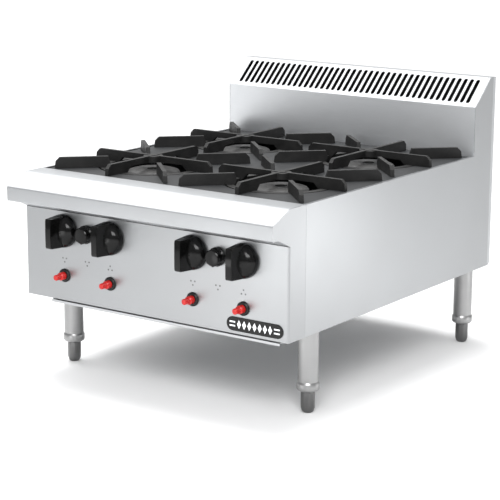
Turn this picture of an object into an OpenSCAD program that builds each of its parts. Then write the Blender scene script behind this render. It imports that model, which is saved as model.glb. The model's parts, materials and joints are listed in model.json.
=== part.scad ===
// Counter-top gas range with four open burners, a front landing ledge and a slotted flue at the back.
// +Z is up, the controls face -Y, and the origin is on the floor at the middle of the footprint.

/* [Overall size] */
// Width over the side panels
body_w = 610; // [610:2:640]
// Depth from the front lip to the back panel
body_d = 800; // [800:2:830]
// Height of the body's underside over the floor
leg_h = 156; // [140:1:180]
// Height of the body, from its underside to the hob rim
body_h = 240; // [240:1:250]
// Height of the flue over the hob rim
splash_h = 153; // [130:1:180]
// Length of the gas inlet behind the back panel
inlet_out = 22; // [18:1:40]
// Thickness of the sheet steel
sheet = 1.5; // [1.2:0.1:1.5]

/* [Front console] */
// Height of the control panel
panel_h = 173; // [172:1:174]
// Overhang of the landing ledge in front of the control panel
lip_overhang = 51; // [49:1:54]
// Height of the ledge's front lip
lip_h = 28; // [24:1:30]
// Depth of the console behind the face of the control panel
console_d = 52; // [52:1:54]
// Radius of the vertical bends at the console's corners
console_r = 4; // [3:0.5:6]

/* [Controls] */
// Distance of the outer burner knobs from the middle
outer_knob_x = 208.5; // [206:0.5:212]
// Distance of the inner burner knobs from the middle
inner_knob_x = 96.5; // [92:0.5:98]
// Distance of the pilot knobs from the middle
pilot_x = 152.5; // [150:0.5:155]
// Height of the knob axes over the body's underside
knob_up = 136; // [134:1:140]
// Height of the igniter buttons over the body's underside
button_up = 49; // [44:1:60]
// Radius of a burner knob's skirt
knob_r = 32; // [30:0.5:34]
// How far a burner knob stands out of the panel
knob_out = 47; // [40:1:48]
// Radius of a pilot knob
pilot_knob_r = 17.5; // [15:0.5:18]
// How far a pilot knob stands out of the panel
pilot_knob_out = 20; // [16:1:24]
// How far an igniter button stands out of the panel
button_out = 28; // [24:1:32]

/* [Hob] */
// Distance between the grate centres across the hob
grate_pitch = 302; // [300:1:304]
// Distance between the grate centres from front to back
row_pitch = 310; // [306:1:314]
// Distance of the front grates' centres behind the control panel
first_row = 200; // [198:1:202]
// Radius of the hob's burner openings
opening_r = 108; // [107:0.5:110]
// Height of the grates over the hob rim
grate_up = 20; // [19:0.5:22]
// Thickness of a grate blade
blade_t = 8; // [6:0.5:9]

/* [Flue] */
// Depth from the splash panel to the back panel
flue_d = 83; // [78:1:86]
// Height of the sloping vent face
vent_h = 54; // [48:1:60]
// Number of slots across the vent
slot_count = 41; // [20:1:42]
// Width of a vent slot
slot_w = 8.5; // [4:0.5:9]

/* [Legs and tray] */
// Distance of a leg's axis from the middle
leg_x = 279; // [278:0.5:280]
// Distance of the front legs behind the control panel
leg_front = 104; // [90:1:120]
// Distance of the back legs behind the control panel
leg_back = 686; // [650:1:700]
// Height of a foot under its collar
foot_h = 42; // [38:1:46]
// Depth of the crumb tray below the body
tray_drop = 12.2; // [12.2:0.1:13]
// Reach of the tray's front lip to the left of the middle
lip_left = 240; // [220:1:288]
// Reach of the tray's front lip to the right of the middle
lip_right = 288; // [220:1:288]

/* [Hidden] */
$fn = 48;
places = ["front_left", "rear_left", "rear_right", "front_right"];

// Clearance between pieces that move past each other
gap = 0.3;
half_w = body_w / 2;
inner_w = half_w - sheet;
front_y = -(body_d + inlet_out) / 2;
panel_y = front_y + lip_overhang;
back_p = body_d - lip_overhang;
splash_p = back_p - flue_d;
vent_top_p = back_p - 22;
z_low = leg_h;
z_panel = z_low + panel_h;
z_rim = z_low + body_h;
z_hob = z_rim - sheet;
z_lip_low = z_rim - 50;
z_lip_top = z_lip_low + lip_h;
z_top = z_rim + splash_h;
z_vent = z_top - vent_h;
z_knob = z_low + knob_up;
z_button = z_low + button_up;

// Hob sheet and the shelves that carry it
hob_gap = 3;
hob_x = inner_w - 7.5;
hob_front = console_d + hob_gap;
hob_back = splash_p - hob_gap;
skirt_h = 15.5;
shelf_w = 17.5;

// Back panel wraps round the side panels by this much
back_wrap = 10;

// Gas pipe: outer and bore radii of 3/4 inch pipe, outer radius of its threaded end, and its runs
pipe_r = 13.5;
pipe_bore = 10.5;
inlet_r = 13.2;
manifold_p = 55;
z_manifold = z_knob - 31;
supply_x = 250;
bend_r = 24;
valve_boss_r = 6;
pilot_boss_r = 5;
pilot_tube_r = 3.2;

// Burner casting
venturi_r = 14;
venturi_bore = 10.5;
venturi_p = 94;
z_cradle = z_knob - venturi_r;
bowl_r = 52;
z_bowl = z_rim - 33;
bowl_h = 8;
spigot_bore = 13.7;
cap_h = 18;
port_count = 36;

// Grate: ring under the blades, blade heights and lengths
z_grate = z_rim + grate_up;
ring_in = 90;
ring_out = 104;
blade_h = 12;
hub_r = 19;

// Height of a burner knob's dome
dome_h = 20;

// Valve stems, igniters and their bores
stem_r = 4;
stem_bore = 4.08;
plunger_r = 7.6;
plunger_bore = 7.7;
barrel_r = 9.8;
bezel_r = 13;

// Legs
tube_r = 19;
tube_bore = 17.5;
stud_r = 5;
screw_r = 6;
screw_bore = 6.1;
leg_flange = 3;

// Base frame and tray
base_t = 2;
base_front = 16;
runner_x = 257;
runner_w = 20;
runner_front = 20;
runner_back = back_p - 32;
tray_half = 255.5;
z_tray = z_low - tray_drop;

function place_side(i) = i < 2 ? -1 : 1;
function is_rear(i) = i == 1 || i == 2;
function burner_x(i) = place_side(i) * grate_pitch / 2;
function burner_p(i) = first_row + (is_rear(i) ? row_pitch : 0);
function knob_x(i) = place_side(i) * (is_rear(i) ? inner_knob_x : outer_knob_x);
function leg_p(i) = is_rear(i) ? leg_back : leg_front;

// Bent sheet outlines: unit vectors, fillets at the bends and the inner line one thickness to the right
function unit(v) = v / norm(v);
function right_of(v) = [v[1], -v[0]];
function fillet(a, b, c, r, n = 6) =
    let (u = unit(a - b), v = unit(c - b), half = acos(u * v) / 2,
         mid = b + unit(u + v) * r / sin(half),
         from = b + u * r / tan(half) - mid, to = b + v * r / tan(half) - mid,
         a0 = atan2(from[1], from[0]), turn = atan2(to[1], to[0]) - a0,
         sweep = turn > 180 ? turn - 360 : turn < -180 ? turn + 360 : turn)
    [for (k = [0:n]) mid + r * [cos(a0 + sweep * k / n), sin(a0 + sweep * k / n)]];
function bent(line, radii) = [
    for (i = [0:len(line) - 1])
        each (radii[i] == 0 ? [line[i]] : fillet(line[i - 1], line[i], line[i + 1], radii[i]))
];
function inner_point(line, i, t) =
    let (last = len(line) - 1,
         n1 = right_of(unit(i > 0 ? line[i] - line[i - 1] : line[1] - line[0])),
         n2 = right_of(unit(i < last ? line[i + 1] - line[i] : line[last] - line[last - 1])))
    line[i] + t * (n1 + n2) / (1 + n1 * n2);
function inner_line(line, t) = [for (i = [0:len(line) - 1]) inner_point(line, i, t)];
function reversed(list) = [for (i = [len(list) - 1:-1:0]) list[i]];

ledge_line = bent(
    [[0, z_panel + 1], [-34, z_lip_low], [-lip_overhang, z_lip_low], [-lip_overhang, z_lip_top],
     [2, z_rim], [console_d, z_rim], [console_d, z_rim - 12]],
    [0, 0, 3, 4, 30, 2, 0]);
flue_line = [[splash_p, z_rim - 21], [splash_p, z_vent], [vent_top_p, z_top], [back_p - sheet, z_top]];
flue_inner = inner_line(flue_line, sheet);

module from_panel() {
    translate([0, panel_y, 0]) children();
}

module along_x(x0, x1) {
    translate([x0, 0, 0]) rotate([90, 0, 90]) linear_extrude(x1 - x0) children();
}

module along_y(x, p, z) {
    translate([x, p, z]) rotate([-90, 0, 0]) children();
}

module block(low, high) {
    translate(low) cube(high - low);
}

module handed(s) {
    mirror([s < 0 ? 1 : 0, 0, 0]) children();
}

module pilot_run(points) {
    elbow = 9;
    for (i = [0:len(points) - 2]) {
        d = points[i + 1] - points[i];
        translate(points[i])
            rotate([0, acos(d[2] / norm(d)), atan2(d[1], d[0])])
            cylinder(h = norm(d), r = pilot_tube_r);
    }
    for (i = [1:len(points) - 2]) translate(points[i]) cube(elbow, center = true);
}

module base_frame() {
    color("silver") from_panel() difference() {
        union() {
            base_ring();
            for (s = [-1, 1]) handed(s) {
                block([inner_w - sheet, base_front, z_low + base_t], [inner_w, back_p - sheet, z_low + 32]);
                for (p = [leg_front, leg_back])
                    block([leg_x - 28, p - 40, z_low + base_t], [inner_w - sheet, p + 40, z_low + base_t + 4]);
            }
            block([-inner_w, base_front, z_low], [inner_w, base_front + sheet, z_low + 24]);
            block([-inner_w, back_p - 2 * sheet, z_low], [inner_w, back_p - sheet, z_low + 32]);
            manifold_bracket();
        }
        for (s = [-1, 1], p = [leg_front, leg_back])
            translate([s * leg_x, p, z_low - 1]) cylinder(h = base_t + 6, r = stud_r + 0.25);
    }
}

module base_ring() {
    difference() {
        block([-inner_w, base_front, z_low], [inner_w, back_p - sheet, z_low + base_t]);
        block([-236, 66, z_low - 1], [236, back_p - 60, z_low + base_t + 1]);
    }
}

module tray_runners() {
    z_foot = z_tray - gap - sheet;
    color("silver") from_panel() for (s = [-1, 1]) handed(s) {
        block([runner_x, runner_front, z_foot], [runner_x + sheet, runner_back, z_low]);
        block([runner_x - runner_w, runner_front, z_foot], [runner_x, runner_back, z_foot + sheet]);
        block([runner_x - runner_w, runner_back, z_foot], [runner_x + sheet, runner_back + sheet, z_low]);
    }
}

module manifold_bracket() {
    z_seat = z_manifold - pipe_r;
    block([-20, manifold_p - 1, z_low + base_t], [20, manifold_p + 1, z_seat]);
    block([-20, manifold_p - 10, z_seat - 2], [20, manifold_p + 10, z_seat]);
}

module side_panel(s) {
    p0 = console_d + gap;
    p1 = back_p - back_wrap - gap;
    color("lightgray") from_panel() handed(s) {
        along_x(inner_w, half_w)
            polygon([[p0, z_low], [p1, z_low], [p1, z_top], [vent_top_p, z_top], [splash_p, z_vent],
                     [splash_p, z_rim], [p0, z_rim]]);
        block([inner_w - 4.5, p0, z_hob], [inner_w, splash_p, z_rim]);
        block([inner_w - shelf_w, hob_front + 1, z_hob - skirt_h - sheet],
              [inner_w, hob_back, z_hob - skirt_h]);
    }
}

module console_outline(inset) {
    r = console_r - inset;
    x = half_w - console_r;
    for (s = [-1, 1]) translate([s * x, console_r]) circle(r);
    translate([-x, inset]) square([2 * x, console_d]);
    translate([-x - r, console_r]) square([2 * (x + r), console_d]);
}

module console_plan() {
    difference() {
        intersection() {
            console_outline(0);
            translate([-half_w, 0]) square([body_w, console_d]);
        }
        console_outline(sheet);
    }
}

module control_panel() {
    color("gainsboro") from_panel() difference() {
        union() {
            translate([0, 0, z_low]) linear_extrude(panel_h) console_plan();
            for (s = [-1, 1]) handed(s) along_x(inner_w, half_w)
                polygon(concat([for (i = [0:len(ledge_line) - 2]) ledge_line[i]],
                               [[console_d, z_panel], [console_r, z_panel]]));
            block([-inner_w, sheet, z_low], [inner_w, 14, z_low + sheet]);
            block([-inner_w, sheet, z_panel - sheet], [inner_w, 14, z_panel]);
        }
        for (i = [0:3]) {
            along_y(knob_x(i), -1, z_knob) cylinder(h = sheet + 2, r = stem_r + 2);
            along_y(knob_x(i), -1, z_button) cylinder(h = sheet + 2, r = barrel_r + 0.2);
        }
        for (s = [-1, 1]) along_y(s * pilot_x, -1, z_knob) cylinder(h = sheet + 2, r = 5);
    }
}

module front_ledge() {
    color("whitesmoke") from_panel() along_x(-inner_w, inner_w)
        polygon(concat(ledge_line, reversed(inner_line(ledge_line, sheet))));
}

module hob_top() {
    color("dimgray") from_panel() difference() {
        union() {
            difference() {
                block([-hob_x, hob_front, z_hob - skirt_h], [hob_x, hob_back, z_hob]);
                block([sheet - hob_x, hob_front + sheet, z_hob - skirt_h - 1],
                      [hob_x - sheet, hob_back - sheet, z_hob - sheet]);
            }
            for (i = [0:3]) translate([burner_x(i), burner_p(i), z_hob - 9])
                cylinder(h = 9, r = opening_r + sheet);
        }
        for (i = [0:3]) translate([burner_x(i), burner_p(i), z_hob - 10]) cylinder(h = 12, r = opening_r);
    }
}

module back_plan() {
    difference() {
        translate([-half_w, back_p - back_wrap]) square([body_w, back_wrap]);
        translate([-inner_w, back_p - back_wrap - 1]) square([2 * inner_w, back_wrap + 1 - sheet]);
    }
}

module rear_panel() {
    louvre_h = 10;
    color("silver") from_panel() {
        difference() {
            translate([0, 0, z_low + 4]) linear_extrude(z_top - z_low - 4) back_plan();
            along_y(supply_x, back_p - 5, z_manifold) cylinder(h = 10, r = pipe_r + 3);
        }
        for (s = [-1, 1], k = [0:6]) translate([0, back_p, z_low + 140 + 17 * k])
            along_x(s * 120 - 65, s * 120 + 65)
                polygon([[-0.5, 0], [5, 0], [4, 3], [0, louvre_h], [-0.5, louvre_h]]);
    }
}

module splash_panel() {
    color("silver") from_panel() along_x(-inner_w, inner_w)
        polygon([flue_line[0], flue_line[1], flue_inner[1], flue_inner[0]]);
}

module vent_slot() {
    length = norm(flue_line[2] - flue_line[1]);
    low = 0.17 * length;
    high = 0.85 * length;
    for (end = [low, high]) translate([0, end]) circle(slot_w / 2);
    translate([-slot_w / 2, low]) square([slot_w, high - low]);
}

module vent_grille() {
    slope = flue_line[2] - flue_line[1];
    pitch = 2 * (half_w - 24) / (slot_count - 1);
    color("whitesmoke") from_panel() difference() {
        along_x(-inner_w, inner_w)
            polygon([flue_line[1], flue_line[2], flue_line[3], flue_inner[3], flue_inner[2], flue_inner[1]]);
        for (k = [0:slot_count - 1])
            translate([(k - (slot_count - 1) / 2) * pitch, splash_p, z_vent])
                rotate([atan2(slope[1], slope[0]), 0, 0])
                translate([0, 0, -5]) linear_extrude(10) vent_slot();
    }
}

module badge_plate() {
    badge_x = half_w - 71.5;
    along = 48;
    color("black") from_panel() translate([badge_x, -1.2, z_low + 18.5]) rotate([-90, 0, 0])
        linear_extrude(1.2) {
            for (s = [-1, 1]) translate([s * along, 0]) circle(13);
            translate([-along, -13]) square([2 * along, 26]);
        }
}

module burner_cradle() {
    color("gray") from_panel() difference() {
        union() {
            for (i = [0, 1]) {
                p = burner_p(i);
                block([-inner_w, p - 17, z_cradle - 2], [inner_w, p + 17, z_cradle]);
                for (web = [p - 17, p + 15])
                    block([-inner_w, web, z_cradle - 15], [inner_w, web + 2, z_cradle - 2]);
            }
            for (s = [-1, 1]) handed(s)
                block([inner_w - 14, burner_p(0), z_cradle - 2], [inner_w, burner_p(1), z_cradle]);
        }
        block([supply_x - pipe_r - 4, 0, z_cradle - 50], [supply_x + pipe_r + 4, back_p, z_cradle - 2]);
    }
}

module manifold_solid(r, tail) {
    along_y(supply_x, manifold_p + bend_r, z_manifold)
        cylinder(h = back_p + tail - manifold_p - bend_r, r = r);
    translate([supply_x - bend_r, manifold_p + bend_r, z_manifold]) rotate([0, 0, -90])
        rotate_extrude(angle = 90) translate([bend_r, 0]) circle(r);
    translate([-268, manifold_p, z_manifold]) rotate([0, 90, 0]) cylinder(h = supply_x - bend_r + 268, r = r);
}

module gas_manifold() {
    color("gray") from_panel() difference() {
        union() {
            manifold_solid(pipe_r, 4);
            along_y(supply_x, back_p, z_manifold) cylinder(h = inlet_out, r = inlet_r);
            translate([-274, manifold_p, z_manifold]) rotate([0, 90, 0]) cylinder(h = 16, r = pipe_r + 3);
            along_y(supply_x, back_p - 30, z_manifold) cylinder(h = 18, r = pipe_r + 3.5);
        }
        manifold_solid(pipe_bore, inlet_out + 5);
        for (i = [0:3]) translate([knob_x(i), manifold_p, z_manifold]) cylinder(h = 20, r = valve_boss_r);
        for (s = [-1, 1]) translate([s * pilot_x, manifold_p, z_manifold]) cylinder(h = 20, r = pilot_boss_r);
    }
}

module gas_valve(i) {
    color("goldenrod") from_panel() difference() {
        union() {
            along_y(knob_x(i), 22, z_knob) cylinder(h = 12, r = 8);
            along_y(knob_x(i), 34, z_knob) cylinder(h = 40, r = 11);
            along_y(knob_x(i), 74, z_knob) cylinder(h = 10, r = 8, $fn = 6);
            along_y(knob_x(i), 84, z_knob) cylinder(h = 8, r1 = 5, r2 = 2.5);
            translate([knob_x(i), manifold_p, z_manifold + pipe_bore])
                cylinder(h = z_knob - z_manifold - pipe_bore, r = valve_boss_r);
        }
        along_y(knob_x(i), 21, z_knob) cylinder(h = 16, r = stem_bore);
        along_y(knob_x(i), 80, z_knob) cylinder(h = 13, r = 1);
    }
}

module valve_stem(i) {
    color("silver") from_panel() along_y(knob_x(i), -30, z_knob) cylinder(h = 65, r = stem_r);
}

module knob(i) {
    color([0.05, 0.05, 0.06]) from_panel() along_y(knob_x(i), -1, z_knob) mirror([0, 0, 1]) difference() {
        union() {
            rotate_extrude() polygon(concat([[0, 0], [knob_r, 0]],
                [for (a = [0:15:90]) [knob_r * cos(a), 4 + dome_h * sin(a)]]));
            knob_bar();
        }
        translate([0, 0, -1]) cylinder(h = 30, r = stem_r);
    }
}

module knob_bar() {
    reach = knob_out - 1;
    intersection() {
        rotate([90, 0, 90]) translate([0, 0, -20]) linear_extrude(40)
            polygon([[1 - knob_r, 3], [3 - knob_r, reach - 3], [7 - knob_r, reach - 0.8], [0, reach],
                     [knob_r - 8, reach - 0.8], [knob_r - 4.5, reach - 3], [knob_r - 2.5, 3]]);
        rotate([90, 0, 0]) translate([0, 0, -40]) linear_extrude(80)
            polygon([[-9.5, 3], [-6.8, reach - 2], [-5.5, reach + 1], [5.5, reach + 1], [6.8, reach - 2], [9.5, 3]]);
    }
}

module pilot_line(s) {
    mid_p = first_row + row_pitch / 2;
    z_run = z_knob + 52;
    x_tip = -grate_pitch / 2;
    x_run = x_tip - 40;
    color("darkkhaki") from_panel() handed(-s) {
        difference() {
            union() {
                along_y(-pilot_x, 22, z_knob) cylinder(h = 10, r = 6);
                along_y(-pilot_x, 32, z_knob) cylinder(h = 32, r = 8);
            }
            along_y(-pilot_x, 21, z_knob) cylinder(h = 14, r = 3.08);
        }
        translate([-pilot_x, manifold_p, z_manifold + pipe_bore])
            cylinder(h = z_knob - z_manifold - pipe_bore, r = pilot_boss_r);
        pilot_run([[-pilot_x, manifold_p, z_knob], [-pilot_x, manifold_p, z_run], [x_run, manifold_p, z_run],
                   [x_run, mid_p, z_run], [x_tip, mid_p, z_run], [x_tip, mid_p, z_run + 36]]);
        translate([x_tip, mid_p, z_run + 26]) cylinder(h = 13, r = 5);
    }
}

module pilot_knob(s) {
    rib = 1.8;
    grip_r = pilot_knob_r - 2.4;
    color([0.05, 0.05, 0.06]) from_panel() along_y(s * pilot_x, -1, z_knob) {
        mirror([0, 0, 1]) {
            cylinder(h = 5, r = pilot_knob_r);
            translate([0, 0, 5]) cylinder(h = 2, r1 = pilot_knob_r, r2 = pilot_knob_r - 2.5);
            cylinder(h = pilot_knob_out - 3, r = grip_r);
            translate([0, 0, pilot_knob_out - 3]) cylinder(h = 2, r1 = grip_r, r2 = grip_r - 2);
            for (k = [0:7]) rotate([0, 0, 45 * k]) translate([grip_r - 0.2, 0, 5])
                cylinder(h = pilot_knob_out - 9, r = rib);
        }
        cylinder(h = 34, r = 3);
    }
}

module igniter_body(i) {
    color([0.08, 0.08, 0.08]) from_panel() along_y(knob_x(i), 0, z_button) difference() {
        union() {
            mirror([0, 0, 1]) {
                cylinder(h = 2.5, r = bezel_r);
                translate([0, 0, 2.5]) cylinder(h = 2, r1 = bezel_r, r2 = bezel_r - 2.5);
            }
            cylinder(h = 34, r = barrel_r);
            translate([-3, -0.5, 34]) cube([6, 1, 8]);
        }
        translate([0, 0, -5]) cylinder(h = 25, r = plunger_bore);
    }
}

module igniter_button(i) {
    color("red") from_panel() along_y(knob_x(i), 0, z_button) {
        translate([0, 0, -14]) cylinder(h = 26, r = plunger_r);
        mirror([0, 0, 1]) {
            translate([0, 0, 14]) cylinder(h = 1.5, r1 = plunger_r, r2 = plunger_r - 1.5);
            cylinder(h = button_out - 1.5, r = 5.6);
            translate([0, 0, button_out - 1.5]) cylinder(h = 1.5, r1 = 5.6, r2 = 4.4);
        }
    }
}

module burner(i) {
    bx = burner_x(i);
    bp = burner_p(i);
    kx = knob_x(i);
    reach = abs(bx - kx);
    color([0.2, 0.2, 0.2]) from_panel() difference() {
        union() {
            along_y(kx, venturi_p, z_knob) {
                cylinder(h = bp - venturi_p, r = venturi_r);
                cylinder(h = 6, r = venturi_r + 5);
                translate([0, 0, 6]) cylinder(h = 16, r1 = venturi_r + 5, r2 = venturi_r);
            }
            translate([kx, bp, z_knob]) sphere(venturi_r);
            translate([min(kx, bx), bp, z_knob]) rotate([0, 90, 0]) cylinder(h = reach, r = venturi_r);
            translate([bx, bp, z_knob]) cylinder(h = z_bowl - z_knob, r1 = 18, r2 = 30);
            translate([bx, bp, z_knob]) sphere(18);
            translate([bx - 18, bp - 15, z_cradle]) cube([36, 30, 8]);
            translate([bx, bp, z_bowl]) cylinder(h = bowl_h, r = bowl_r);
            translate([bx, bp, z_bowl]) cylinder(h = bowl_h + 3, r = 18);
        }
        along_y(kx, venturi_p - 1, z_knob) cylinder(h = bp - venturi_p - 10, r = venturi_bore);
        translate([bx, bp, z_bowl + 2]) difference() {
            cylinder(h = bowl_h, r = bowl_r - 6);
            translate([0, 0, -1]) cylinder(h = bowl_h + 2, r = 18);
        }
        translate([bx, bp, z_bowl + 2]) cylinder(h = bowl_h + 2, r = spigot_bore);
        translate([bx - 30, bp - 30, z_cradle - 30]) cube([60, 60, 30]);
    }
}

module burner_cap(i) {
    z_seat = z_bowl + bowl_h + gap;
    color([0.12, 0.12, 0.12]) from_panel() translate([burner_x(i), burner_p(i), z_seat]) difference() {
        union() {
            rotate_extrude() polygon([[0, 10], [bowl_r - 7, 10], [bowl_r - 6, 0], [bowl_r, 0], [bowl_r, 12],
                                      [bowl_r - 3, cap_h - 3], [bowl_r - 14, cap_h], [0, cap_h]]);
            translate([0, 0, -4]) cylinder(h = 15, r = spigot_bore - 0.1);
        }
        for (k = [0:port_count - 1]) rotate([0, 0, k * 360 / port_count])
            translate([bowl_r - 10, -1, 3]) cube([14, 2, 5]);
        translate([0, 0, cap_h - 4]) cylinder(h = 5, r = 12);
    }
}

module blade(profile, turn) {
    rotate([0, 0, turn]) rotate([90, 0, 0]) translate([0, 0, -blade_t / 2]) linear_extrude(blade_t)
        polygon(profile);
}

module grate(i) {
    z_under = z_hob + gap;
    z_ring = z_hob - 11;
    root = [[192, z_under], [ring_out - 1, z_under], [ring_out - 1, z_ring + 3], [ring_in + 1, z_ring + 3]];
    straight = concat([[142, z_under]], [for (k = [1:3]) root[k]],
        [[74, z_grate - blade_h], [0, z_grate - blade_h], [0, z_grate], [133, z_grate], [141, z_grate - 8]]);
    diagonal = concat(root,
        [[84, z_grate - blade_h], [88, z_grate], [182, z_grate], [190, z_grate - 8]]);
    color([0.15, 0.15, 0.16]) from_panel() translate([burner_x(i), burner_p(i), 0]) {
        translate([0, 0, z_ring]) difference() {
            cylinder(h = 10.9, r = ring_out);
            translate([0, 0, -1]) cylinder(h = 13, r = ring_in);
        }
        for (k = [0:3]) {
            blade(straight, 90 * k);
            blade(diagonal, 45 + 90 * k);
        }
        translate([0, 0, z_grate - blade_h]) cylinder(h = blade_h - 1, r = hub_r);
    }
}

module crumb_tray() {
    tray_front = base_front;
    tray_back = runner_back - 2;
    wall_top = z_low - 1.5;
    color("silver") from_panel() {
        difference() {
            block([-tray_half, tray_front, z_tray], [tray_half, tray_back, wall_top]);
            block([sheet - tray_half, tray_front + sheet, z_tray + sheet],
                  [tray_half - sheet, tray_back - sheet, wall_top + 1]);
        }
        block([-lip_left, -1.5, wall_top - sheet], [lip_right, tray_front, wall_top]);
        block([-lip_left, -3, z_low - 6.5], [lip_right, -1.5, wall_top]);
    }
}

module fasteners() {
    nut_z = z_low + base_t + 4;
    color("silver") from_panel() {
        for (s = [-1, 1], p = [leg_front, leg_back]) translate([s * leg_x, p, nut_z]) difference() {
            union() {
                cylinder(h = 2, r = 11);
                translate([0, 0, 2]) cylinder(h = 8, r = 9.2, $fn = 6);
            }
            translate([0, 0, -1]) cylinder(h = 12, r = stud_r);
        }
        for (s = [-1, 1], z = [z_low + 20, z_rim - 40, z_top - 20])
            along_y(s * (half_w - 20), back_p, z) cylinder(h = 2.2, r1 = 4.5, r2 = 3.4);
    }
}

module leg(i) {
    z_collar = foot_h;
    z_tube = z_collar + 17;
    z_flange = z_low - leg_flange;
    color("gray") from_panel() translate([place_side(i) * leg_x, leg_p(i), 0]) difference() {
        union() {
            translate([0, 0, z_collar]) cylinder(h = 3, r1 = 18.5, r2 = 21);
            translate([0, 0, z_collar + 3]) cylinder(h = 10, r = 21);
            translate([0, 0, z_collar + 13]) cylinder(h = 4, r1 = 21, r2 = tube_r);
            translate([0, 0, z_tube]) cylinder(h = z_flange - z_tube, r = tube_r);
            translate([0, 0, z_flange]) cylinder(h = leg_flange, r = 20.2);
            translate([0, 0, z_low]) cylinder(h = base_t + 4 + 12, r = stud_r);
        }
        translate([0, 0, z_collar - 1]) cylinder(h = 19, r = screw_bore);
        translate([0, 0, z_tube]) cylinder(h = z_flange - z_tube - 3, r = tube_bore);
    }
}

module foot(i) {
    color("dimgray") from_panel() translate([place_side(i) * leg_x, leg_p(i), 0]) {
        intersection() {
            rotate_extrude() polygon([[0, 0], [8, 0], [11, 3], [12.8, 9], [13.2, 14], [13.2, foot_h - 3],
                                      [11.5, foot_h - gap], [0, foot_h - gap]]);
            cylinder(h = foot_h, r = 13.6, $fn = 8);
        }
        translate([0, 0, foot_h - gap - 1]) cylinder(h = 50, r = screw_r);
    }
}

base_frame();
tray_runners();
side_panel(-1);  // side_panel_left
side_panel(1);  // side_panel_right
control_panel();
front_ledge();
hob_top();
rear_panel();
splash_panel();
vent_grille();
badge_plate();
burner_cradle();
gas_manifold();
pilot_line(-1);  // pilot_line_left
pilot_line(1);  // pilot_line_right
pilot_knob(-1);  // pilot_knob_left
pilot_knob(1);  // pilot_knob_right
crumb_tray();
fasteners();
for (i = [0:3]) {
    gas_valve(i);
    valve_stem(i);
    knob(i);
    igniter_body(i);
    igniter_button(i);
    burner(i);
    burner_cap(i);
    grate(i);
    leg(i);
    foot(i);
}
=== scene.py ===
import json
import math

import bmesh
import bpy
from mathutils import Matrix, Vector

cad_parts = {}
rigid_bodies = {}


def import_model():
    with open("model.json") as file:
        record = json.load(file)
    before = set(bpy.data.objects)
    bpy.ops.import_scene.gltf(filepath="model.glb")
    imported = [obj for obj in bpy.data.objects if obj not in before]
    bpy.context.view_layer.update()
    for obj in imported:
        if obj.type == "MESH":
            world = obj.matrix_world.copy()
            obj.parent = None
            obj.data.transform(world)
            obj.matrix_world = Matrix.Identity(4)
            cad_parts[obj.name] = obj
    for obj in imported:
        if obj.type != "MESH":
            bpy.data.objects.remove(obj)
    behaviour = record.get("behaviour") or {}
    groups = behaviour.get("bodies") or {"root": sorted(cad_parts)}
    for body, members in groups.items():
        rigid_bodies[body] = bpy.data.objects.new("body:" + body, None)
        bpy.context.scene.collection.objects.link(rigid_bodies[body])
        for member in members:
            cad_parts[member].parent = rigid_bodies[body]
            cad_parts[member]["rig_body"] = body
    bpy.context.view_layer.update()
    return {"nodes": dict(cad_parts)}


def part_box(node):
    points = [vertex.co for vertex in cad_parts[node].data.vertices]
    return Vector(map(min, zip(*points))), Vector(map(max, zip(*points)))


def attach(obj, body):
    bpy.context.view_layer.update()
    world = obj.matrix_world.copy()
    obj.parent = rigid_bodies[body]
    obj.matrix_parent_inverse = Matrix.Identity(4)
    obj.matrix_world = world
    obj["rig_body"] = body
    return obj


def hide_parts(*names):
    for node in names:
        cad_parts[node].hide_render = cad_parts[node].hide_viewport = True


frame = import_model()
NODES = frame["nodes"]
PLACES = ("front_left", "rear_left", "rear_right", "front_right")
MM = 0.001
LOUVRE_ANGLE = 20   # degrees: sharper than this is an edge of rear_panel, whose louvre hoods meet it at 30
SMUDGE = 0.06       # how much rougher than its base a smudge on plastic is

# ---------------------------------------------------------------- camera
CAM_AZIMUTH = math.radians(35.188)
CAM_ELEVATION = math.radians(12.885)
CAM_ROLL = math.radians(0.3145)
CAM_DISTANCE = 3.4109
CAM_TARGET = Vector((0.0105, -0.060, 0.22917))
CAM_LENS = 124.81


def place_camera():
    back = Vector((math.sin(CAM_AZIMUTH) * math.cos(CAM_ELEVATION),
                   -math.cos(CAM_AZIMUTH) * math.cos(CAM_ELEVATION),
                   math.sin(CAM_ELEVATION)))
    data = bpy.data.cameras.new("camera")
    data.lens = CAM_LENS
    data.sensor_width = 36
    camera = bpy.data.objects.new("camera", data)
    bpy.context.scene.collection.objects.link(camera)
    turn = (-back).to_track_quat("-Z", "Y").to_matrix() @ Matrix.Rotation(CAM_ROLL, 3, "Z")
    camera.matrix_world = Matrix.Translation(CAM_TARGET + back * CAM_DISTANCE) @ turn.to_4x4()
    bpy.context.scene.camera = camera


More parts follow.
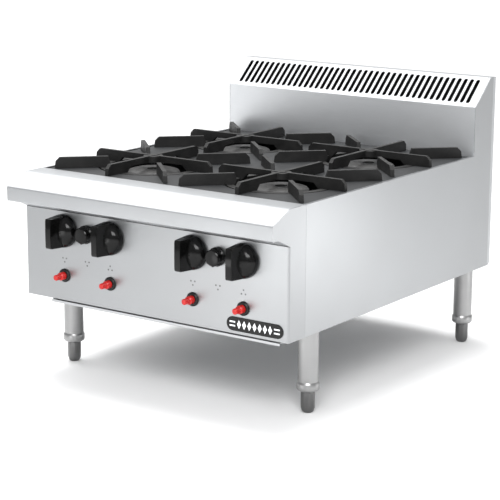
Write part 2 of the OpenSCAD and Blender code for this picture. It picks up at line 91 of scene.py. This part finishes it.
# ---------------------------------------------------------------- shader building
class Shader:
    """A Principled material that is built node by node, in the piece's own coordinates."""

    def __init__(self, name, **values):
        self.material = bpy.data.materials.new(name)
        self.material.use_nodes = True
        self.tree = self.material.node_tree
        self.bsdf = self.tree.nodes["Principled BSDF"]
        for socket, value in values.items():
            self.set(socket.replace("_", " "), value)
        self.coords = self.node("ShaderNodeTexCoord").outputs["Object"]

    def set(self, socket, value):
        target = self.bsdf.inputs[socket]
        if isinstance(value, bpy.types.NodeSocket):
            self.tree.links.new(value, target)
        elif isinstance(value, (tuple, list)) and len(value) == 3 and target.type == "RGBA":
            target.default_value = (*value, 1)
        else:
            target.default_value = value

    def node(self, kind, inputs=None, **settings):
        node = self.tree.nodes.new(kind)
        for name, value in settings.items():
            setattr(node, name, value)
        for key, value in (inputs or {}).items():
            if isinstance(value, bpy.types.NodeSocket):
                self.tree.links.new(value, node.inputs[key])
            else:
                node.inputs[key].default_value = value
        return node

    def stretched(self, scale):
        return self.node("ShaderNodeMapping", {"Vector": self.coords, "Scale": scale}).outputs[0]

    def noise(self, scale, detail=3.0, rough=0.55, stretch=None):
        vector = self.stretched(stretch) if stretch else self.coords
        return self.node("ShaderNodeTexNoise", {"Vector": vector, "Scale": scale, "Detail": detail,
                                                "Roughness": rough}).outputs["Fac"]

    def cells(self, scale):
        return self.node("ShaderNodeTexVoronoi", {"Vector": self.coords, "Scale": scale}).outputs["Distance"]

    def span(self, value, low, high, to_low, to_high):
        return self.node("ShaderNodeMapRange", {"Value": value, "From Min": low, "From Max": high,
                                                "To Min": to_low, "To Max": to_high},
                         interpolation_type="SMOOTHSTEP").outputs[0]

    def past(self, value, edge):
        return self.span(value, edge, edge + FADE, 0.0, 1.0)

    def before(self, value, edge):
        return self.span(value, edge - FADE, edge, 1.0, 0.0)

    def blend(self, factor, first, second):
        node = self.node("ShaderNodeMix", data_type="RGBA")
        for index, value in ((0, factor), (6, first), (7, second)):
            if isinstance(value, bpy.types.NodeSocket):
                self.tree.links.new(value, node.inputs[index])
            elif index == 0:
                node.inputs[index].default_value = value
            else:
                node.inputs[index].default_value = (*value, 1)
        return node.outputs[2]

    def maths(self, operation, first, second=0.0):
        return self.node("ShaderNodeMath", {0: first, 1: second}, operation=operation).outputs[0]

    def axis(self, name, source=None):
        return self.node("ShaderNodeSeparateXYZ", {0: source or self.coords}).outputs[name]

    def normal(self):
        return self.node("ShaderNodeNewGeometry").outputs["Normal"]

    def bump(self, height, strength, distance):
        before = self.bsdf.inputs["Normal"]
        inputs = {"Height": height, "Strength": strength, "Distance": distance}
        if before.is_linked:
            inputs["Normal"] = before.links[0].from_socket
        self.set("Normal", self.node("ShaderNodeBump", inputs).outputs[0])


def grey(level, warm=0.0):
    return (level * (1 + warm), level, level * (1 - warm))


def brushed_steel(name, level, rough, grain="X", painted_shade=None):
    """Brushed sheet: fine parallel grain, sparse longer scratches and a soft cloudiness."""
    fine = {"X": (0.02, 1.0, 1.0), "Y": (1.0, 0.02, 1.0), "Z": (1.0, 1.0, 0.02)}[grain]
    s = Shader(name, Metallic=1.0)
    lines = s.noise(2200, 3, 0.6, fine)
    scratches = s.noise(700, 2, 0.5, fine)
    clouds = s.noise(3.5, 2, 0.5)
    shade = s.span(lines, 0.3, 0.7, 0.0, 1.0)
    colour = s.blend(shade, grey(level * 0.96, -0.022), grey(level * 1.02, -0.022))
    worn = s.span(clouds, 0.35, 0.75, 0.0, 0.35)
    colour = s.blend(worn, colour, grey(level * 0.93, -0.012))
    roughness = s.maths("ADD", s.span(lines, 0.3, 0.7, rough - 0.05, rough + 0.06),
                        s.span(clouds, 0.3, 0.7, -0.02, 0.03))
    # painted shade: the unlit inner sides of the tray, splash panel, vent and rear panel are coloured near
    # black here
    if painted_shade:
        mask = painted_shade(s)
        colour = s.blend(mask, colour, grey(0.035))
        roughness = s.maths("ADD", roughness, s.maths("MULTIPLY", mask, 0.35))
    s.set("Base Color", colour)
    s.set("Roughness", roughness)
    s.bump(lines, 0.08, 0.00003)
    s.bump(s.span(scratches, 0.66, 0.8, 0.0, 1.0), 0.05, 0.00003)
    return s.material


def cast_iron(name, level, rough, top_wear_and_sheen=None, pebble=520):
    """Sand-cast iron under a thin black coat: pebbled skin, dusty patches, and upward faces made lighter,
    partly as rubbed wear and partly as a painted highlight.
    """
    s = Shader(name, Metallic=0.0, Specular_IOR_Level=0.3)
    skin = s.noise(pebble, 4, 0.65)
    patches = s.noise(28, 4, 0.6)
    colour = s.blend(s.span(patches, 0.4, 0.7, 0.0, 0.8), grey(level), grey(level * 1.7, 0.02))
    roughness = s.span(patches, 0.3, 0.7, rough - 0.08, rough + 0.1)
    if top_wear_and_sheen:
        # painted highlight and wear: faces that look upwards are lightened, mottled by noise
        lit_and_rubbed_tops = s.maths("MULTIPLY", s.span(s.axis("Z", s.normal()), 0.55, 0.95, 0.0, 1.0),
                         s.span(s.noise(70, 4, 0.7), 0.3, 0.6, 0.25, 1.0))
        colour = s.blend(lit_and_rubbed_tops, colour, grey(top_wear_and_sheen, 0.02))
    s.set("Base Color", colour)
    s.set("Roughness", roughness)
    s.bump(skin, 0.35, 0.0004)
    s.bump(s.cells(310), 0.12, 0.0003)
    return s.material


def plastic(name, colour, rough, shine=0.5):
    """Moulded plastic: a slightly mottled colour, with smudges that are up to SMUDGE rougher."""
    s = Shader(name, Specular_IOR_Level=shine)
    smudge = s.noise(45, 3, 0.6)
    s.set("Base Color", s.blend(s.span(s.noise(260, 2), 0.35, 0.7, 0.0, 1.0), colour,
                                tuple(min(1.0, c * 1.25 + 0.003) for c in colour)))
    s.set("Roughness", s.span(smudge, 0.3, 0.75, rough, rough + SMUDGE))
    s.bump(s.noise(900, 2), 0.05, 0.00006)
    return s.material


def turned_metal(name, colour, rough, axis="Y", ring=1600):
    """Lathe-turned or drawn metal with fine rings along its axis."""
    fine = {"Y": (0.03, 1.0, 0.03), "Z": (0.03, 0.03, 1.0)}[axis]
    s = Shader(name, Metallic=1.0)
    rings = s.noise(ring, 3, 0.6, fine)
    stain = s.noise(12, 3, 0.5)
    dark = tuple(c * 0.9 for c in colour)
    s.set("Base Color", s.blend(s.span(stain, 0.4, 0.75, 0.0, 0.6), colour, dark))
    s.set("Roughness", s.span(rings, 0.3, 0.7, rough - 0.04, rough + 0.05))
    s.bump(rings, 0.015, 0.00002)
    return s.material


def zinc_plate(name, level):
    s = Shader(name, Metallic=1.0)
    spangle = s.cells(70)
    shade = s.span(spangle, 0.1, 0.9, 0.0, 1.0)
    s.set("Base Color", s.blend(shade, grey(level), grey(level * 0.8, -0.02)))
    s.set("Roughness", s.span(spangle, 0.1, 0.9, 0.34, 0.5))
    s.bump(s.noise(300, 3), 0.06, 0.0001)
    return s.material


def enamel(name, level, rough):
    """Satin enamel over sheet: slight orange peel, fine specks and a dusty film."""
    s = Shader(name, Specular_IOR_Level=0.4)
    film = s.noise(9, 4, 0.6)
    specks = s.cells(420)
    colour = s.blend(s.span(film, 0.4, 0.75, 0.0, 0.6), grey(level, -0.05), grey(level * 1.25, -0.03))
    colour = s.blend(s.span(specks, 0.0, 0.12, 0.5, 0.0), colour, grey(level * 1.9))
    s.set("Base Color", colour)
    s.set("Roughness", s.span(film, 0.3, 0.7, rough - 0.06, rough + 0.08))
    s.bump(s.noise(190, 2), 0.10, 0.0002)
    return s.material


# ---------------------------------------------------------------- softened copies of the CAD shapes
def unit_mesh(node):
    mesh = bmesh.new()
    mesh.from_mesh(NODES[node].data)
    bmesh.ops.remove_doubles(mesh, verts=mesh.verts, dist=0.002 * MM)
    bmesh.ops.dissolve_limit(mesh, angle_limit=math.radians(0.6), use_dissolve_boundaries=False,
                             verts=mesh.verts, edges=mesh.edges)
    return mesh


def finish_piece(piece, material, body):
    piece.data.materials.clear()
    piece.data.materials.append(material)
    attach(piece, body)
    return piece


def body_of(node):
    return NODES[node]["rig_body"]


def soften(node, material, width, angle=32):
    """The CAD shape of a node with its sharp edges rounded, in place of the node."""
    mesh = unit_mesh(node)
    data = bpy.data.meshes.new("look_" + node)
    mesh.to_mesh(data)
    mesh.free()
    for face in data.polygons:
        face.use_smooth = True
    data.set_sharp_from_angle(angle=math.radians(angle))
    piece = bpy.data.objects.new("look_" + node, data)
    bpy.context.scene.collection.objects.link(piece)
    rounding = piece.modifiers.new("edges", "BEVEL")
    rounding.width = width * MM
    rounding.segments = 2
    rounding.limit_method = "ANGLE"
    rounding.angle_limit = math.radians(angle)
    rounding.use_clamp_overlap = True
    rounding.harden_normals = True
    bpy.context.view_layer.update()
    done = bpy.data.meshes.new_from_object(piece.evaluated_get(bpy.context.evaluated_depsgraph_get()))
    piece.modifiers.clear()
    piece.data = done
    done.name = "look_" + node
    finish_piece(piece, material, body_of(node))
    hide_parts(node)
    return piece


# ---------------------------------------------------------------- where the dark, unlit sides begin
SKIN = 0.8 * MM
FADE = 0.2 * MM
SCREW_HEAD = 2.2 * MM
TRAY_HALF = 255 * MM
VENT_TOP_DEPTH = 22 * MM


def tray_inside(s):
    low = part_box("crumb_tray")[0]
    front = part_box("base_frame")[0].y
    bottom = s.past(s.axis("Z"), low.z + SKIN)
    across = s.before(s.maths("ABSOLUTE", s.axis("X")), TRAY_HALF - SKIN)
    along = s.past(s.axis("Y"), front + SKIN)
    return s.maths("MULTIPLY", s.maths("MULTIPLY", bottom, across), along)


def splash_inside(s):
    return s.past(s.axis("Y"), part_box("splash_panel")[0].y + SKIN)


def back_face():
    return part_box("fasteners")[1].y - SCREW_HEAD


def vent_inside(s):
    low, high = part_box("vent_grille")
    run, rise = back_face() - VENT_TOP_DEPTH - low.y, high.z - low.z
    size = math.hypot(run, rise)
    along_y = s.maths("MULTIPLY", s.maths("SUBTRACT", s.axis("Y"), low.y), rise / size)
    along_z = s.maths("MULTIPLY", s.maths("SUBTRACT", s.axis("Z"), low.z), run / size)
    slope = s.maths("SUBTRACT", along_y, along_z)
    top = s.maths("SUBTRACT", high.z, s.axis("Z"))
    return s.past(s.maths("MINIMUM", slope, top), SKIN)


def rear_inside(s):
    deep = s.before(s.axis("Y"), back_face() - SKIN)
    across = s.before(s.maths("ABSOLUTE", s.axis("X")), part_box("rear_panel")[1].x - SKIN)
    return s.maths("MULTIPLY", deep, across)


# ---------------------------------------------------------------- small added pieces
def raised_shapes(name, outlines, face_y, thickness, material):
    """Thin printed or plated shapes that stand on a face which looks towards -Y."""
    mesh = bmesh.new()
    for outline in outlines:
        front = [mesh.verts.new((x, face_y - thickness, z)) for x, z in outline]
        back = [mesh.verts.new((x, face_y + 0.00004, z)) for x, z in outline]
        mesh.faces.new(front)
        mesh.faces.new(list(reversed(back)))
        for k in range(len(outline)):
            n = (k + 1) % len(outline)
            mesh.faces.new((front[k], back[k], back[n], front[n]))
    bmesh.ops.recalc_face_normals(mesh, faces=mesh.faces)
    data = bpy.data.meshes.new(name)
    mesh.to_mesh(data)
    mesh.free()
    piece = bpy.data.objects.new(name, data)
    bpy.context.scene.collection.objects.link(piece)
    return finish_piece(piece, material, "frame")


def disc(x, z, r, sides=20):
    return [(x + r * math.cos(2 * math.pi * k / sides), z + r * math.sin(2 * math.pi * k / sides))
            for k in range(sides)]


def box_outline(x, z, w, h, lean=0.0):
    return [(x - w / 2 - lean, z - h / 2), (x + w / 2 - lean, z - h / 2),
            (x + w / 2 + lean, z + h / 2), (x - w / 2 + lean, z + h / 2)]


def burner_marks(material):
    """Three dots below each control, with the single dot below or above the pair."""
    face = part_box("badge_plate")[1].y
    half, rise, radius, drop = 4.4 * MM, 3.6 * MM, 1.7 * MM, 57 * MM
    outlines = []
    for node, way in (("knob_front_left", 1), ("pilot_knob_left", 1), ("knob_rear_left", -1),
                      ("knob_rear_right", 1), ("pilot_knob_right", 1), ("knob_front_right", -1)):
        low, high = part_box(node)
        x, z = (low.x + high.x) / 2, (low.z + high.z) / 2 - drop
        for dx, dz in ((-half, rise), (half, rise), (0, -rise)):
            outlines.append(disc(x + dx, z + way * dz, radius))
    raised_shapes("burner_marks", outlines, face, 0.12 * MM, material)


def badge_trim(material):
    low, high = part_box("badge_plate")
    x, z = (low.x + high.x) / 2, (low.z + high.z) / 2
    outlines = []
    for side in (-1, 1):
        for dz in (-3.6, 3.6):
            outlines.append(box_outline(x + side * 48 * MM, z + dz * MM, 12 * MM, 2.6 * MM))
    for k in range(7):
        cx, w, h = x + (k - 3) * 11.2 * MM, 4.2 * MM, 8.0 * MM
        outlines.append([(cx - w, z), (cx, z - h), (cx + w, z), (cx, z + h)])
    raised_shapes("badge_trim", outlines, low.y, 0.25 * MM, material)


# ---------------------------------------------------------------- the range
def dress_range():
    panel_steel = brushed_steel("panel_steel", 0.36, 0.36, "X")
    side_steel = brushed_steel("side_steel", 0.385, 0.36, "Y")
    ledge_steel = brushed_steel("ledge_steel", 0.45, 0.52, "X")
    splash_steel = brushed_steel("splash_steel", 0.78, 0.5, "X", splash_inside)
    vent_steel = brushed_steel("vent_steel", 0.50, 0.5, "X", vent_inside)
    rear_steel = brushed_steel("rear_steel", 0.50, 0.38, "X", rear_inside)
    tray_steel = brushed_steel("tray_steel", 0.46, 0.4, "X", tray_inside)
    zinc = zinc_plate("zinc_steel", 0.42)
    hob_enamel = enamel("hob_enamel", 0.026, 0.5)
    pipe_paint = enamel("pipe_paint", 0.03, 0.4)
    grate_iron = cast_iron("grate_iron", 0.010, 0.52, 0.035)
    burner_iron = cast_iron("burner_iron", 0.03, 0.6)
    cap_iron = cast_iron("cap_iron", 0.022, 0.5, 0.05)
    knob_black = plastic("knob_black", grey(0.002), 0.12, shine=0.2)
    bezel_black = plastic("bezel_black", grey(0.006), 0.35, shine=0.25)
    button_red = plastic("button_red", (0.44, 0.010, 0.008), 0.28, shine=0.4)
    badge_black = plastic("badge_black", grey(0.005), 0.25, shine=0.25)
    mark_ink = plastic("mark_ink", grey(0.10), 0.5)
    trim_steel = brushed_steel("trim_steel", 0.9, 0.35, "X")
    brass = turned_metal("valve_brass", (0.70, 0.49, 0.20), 0.3)
    stem_steel = turned_metal("stem_steel", grey(0.62), 0.28)
    pilot_tube = turned_metal("pilot_tube", grey(0.68), 0.36, "Z")
    plated = turned_metal("fastener_steel", grey(0.66), 0.3, "Z")
    leg_steel = turned_metal("leg_steel", grey(0.34), 0.36, "Z", ring=300)
    foot_alloy = turned_metal("foot_alloy", grey(0.15), 0.34, "Z", ring=500)

    for node, material, width in (
            ("control_panel", panel_steel, 0.45), ("front_ledge", ledge_steel, 0.7),
            ("side_panel_left", side_steel, 0.45), ("side_panel_right", side_steel, 0.45),
            ("splash_panel", splash_steel, 0.3), ("vent_grille", vent_steel, 0.3),
            ("crumb_tray", tray_steel, 0.35),
            ("base_frame", zinc, 0.3), ("tray_runners", zinc, 0.3), ("burner_cradle", zinc, 0.4),
            ("hob_top", hob_enamel, 0.5),
            ("badge_plate", badge_black, 0.35), ("gas_manifold", pipe_paint, 0.8),
            ("pilot_line_left", pilot_tube, 0.3), ("pilot_line_right", pilot_tube, 0.3),
            ("pilot_knob_left", knob_black, 0.5), ("pilot_knob_right", knob_black, 0.5),
            ("fasteners", plated, 0.4)):
        soften(node, material, width)
    soften("rear_panel", rear_steel, 0.4, angle=LOUVRE_ANGLE)
    for place in PLACES:
        for name, material, width in (
                ("gas_valve", brass, 0.5), ("valve_stem", stem_steel, 0.4), ("knob", knob_black, 0.9),
                ("igniter_body", bezel_black, 0.4), ("igniter_button", button_red, 0.5),
                ("burner", burner_iron, 1.2), ("burner_cap", cap_iron, 0.4), ("grate", grate_iron, 1.4),
                ("leg", leg_steel, 0.5), ("foot", foot_alloy, 0.8)):
            soften(name + "_" + place, material, width)
    burner_marks(mark_ink)
    badge_trim(trim_steel)


# ---------------------------------------------------------------- floor and light
def floor():
    data = bpy.data.meshes.new("floor")
    size = 40
    data.from_pydata([(-size, -size, 0), (size, -size, 0), (size, size, 0), (-size, size, 0)], [],
                     [(0, 1, 2, 3)])
    plane = bpy.data.objects.new("floor", data)
    bpy.context.scene.collection.objects.link(plane)
    s = Shader("floor", Roughness=0.9, Specular_IOR_Level=0.0)
    s.set("Base Color", s.blend(s.noise(2.0, 2), grey(0.86), grey(0.88)))
    data.materials.append(s.material)


def area_light(name, position, target, size, power, height=None):
    data = bpy.data.lights.new(name, "AREA")
    data.shape = "RECTANGLE"
    data.size = size
    data.size_y = height or size
    data.energy = power
    light = bpy.data.objects.new(name, data)
    bpy.context.scene.collection.objects.link(light)
    light.location = position
    light.rotation_euler = (Vector(target) - Vector(position)).to_track_quat("-Z", "Y").to_euler()
    light.visible_camera = False


def sky(shadow_low, mirror_low, high):
    """A studio sky that is dimmer towards the horizon, and less so where the steel mirrors it."""
    world = bpy.data.worlds.new("studio")
    world.use_nodes = True
    tree = world.node_tree

    def node(kind, values, **settings):
        made = tree.nodes.new(kind)
        for name, value in settings.items():
            setattr(made, name, value)
        for key, value in values.items():
            if isinstance(value, bpy.types.NodeSocket):
                tree.links.new(value, made.inputs[key])
            else:
                made.inputs[key].default_value = value
        return made.outputs

    way = node("ShaderNodeTexCoord", {})["Generated"]
    height = node("ShaderNodeSeparateXYZ", {0: way})["Z"]
    mirrored = node("ShaderNodeLightPath", {})["Is Glossy Ray"]
    low = node("ShaderNodeMapRange", {"Value": mirrored, "To Min": shadow_low, "To Max": mirror_low})[0]
    strength = node("ShaderNodeMapRange", {"Value": height, "From Min": 0.1, "From Max": 0.9,
                                           "To Min": low, "To Max": high})[0]
    tree.links.new(strength, tree.nodes["Background"].inputs["Strength"])
    tree.nodes["Background"].inputs["Color"].default_value = (0.985, 0.99, 1, 1)
    bpy.context.scene.world = world


def lighting():
    sky(0.12, 0.45, 0.88)
    area_light("key", (1.4, -2.2, 1.9), (0.5, -1.2, 0.0), 1.4, 70)
    area_light("softbox", (-1.8, 0.4, 2.6), (0, -0.2, 0.4), 2.4, 34)
    area_light("front_card", (-0.2, -1.25, 0.15), (0.25, -0.36, 0.25), 0.4, 0.9, 0.25)
    area_light("side_card", (0.95, 0.40, 0.15), (0.3, -0.3, 0.3), 0.4, 0.7, 0.25)
    sun = bpy.data.lights.new("overhead", "SUN")
    sun.energy = 2.3
    sun.angle = math.radians(24)
    light = bpy.data.objects.new("overhead", sun)
    light.rotation_euler = (math.radians(-8), math.radians(-10), 0)
    bpy.context.scene.collection.objects.link(light)
    bpy.context.scene.view_settings.view_transform = "Standard"


place_camera()
dress_range()
floor()
lighting()
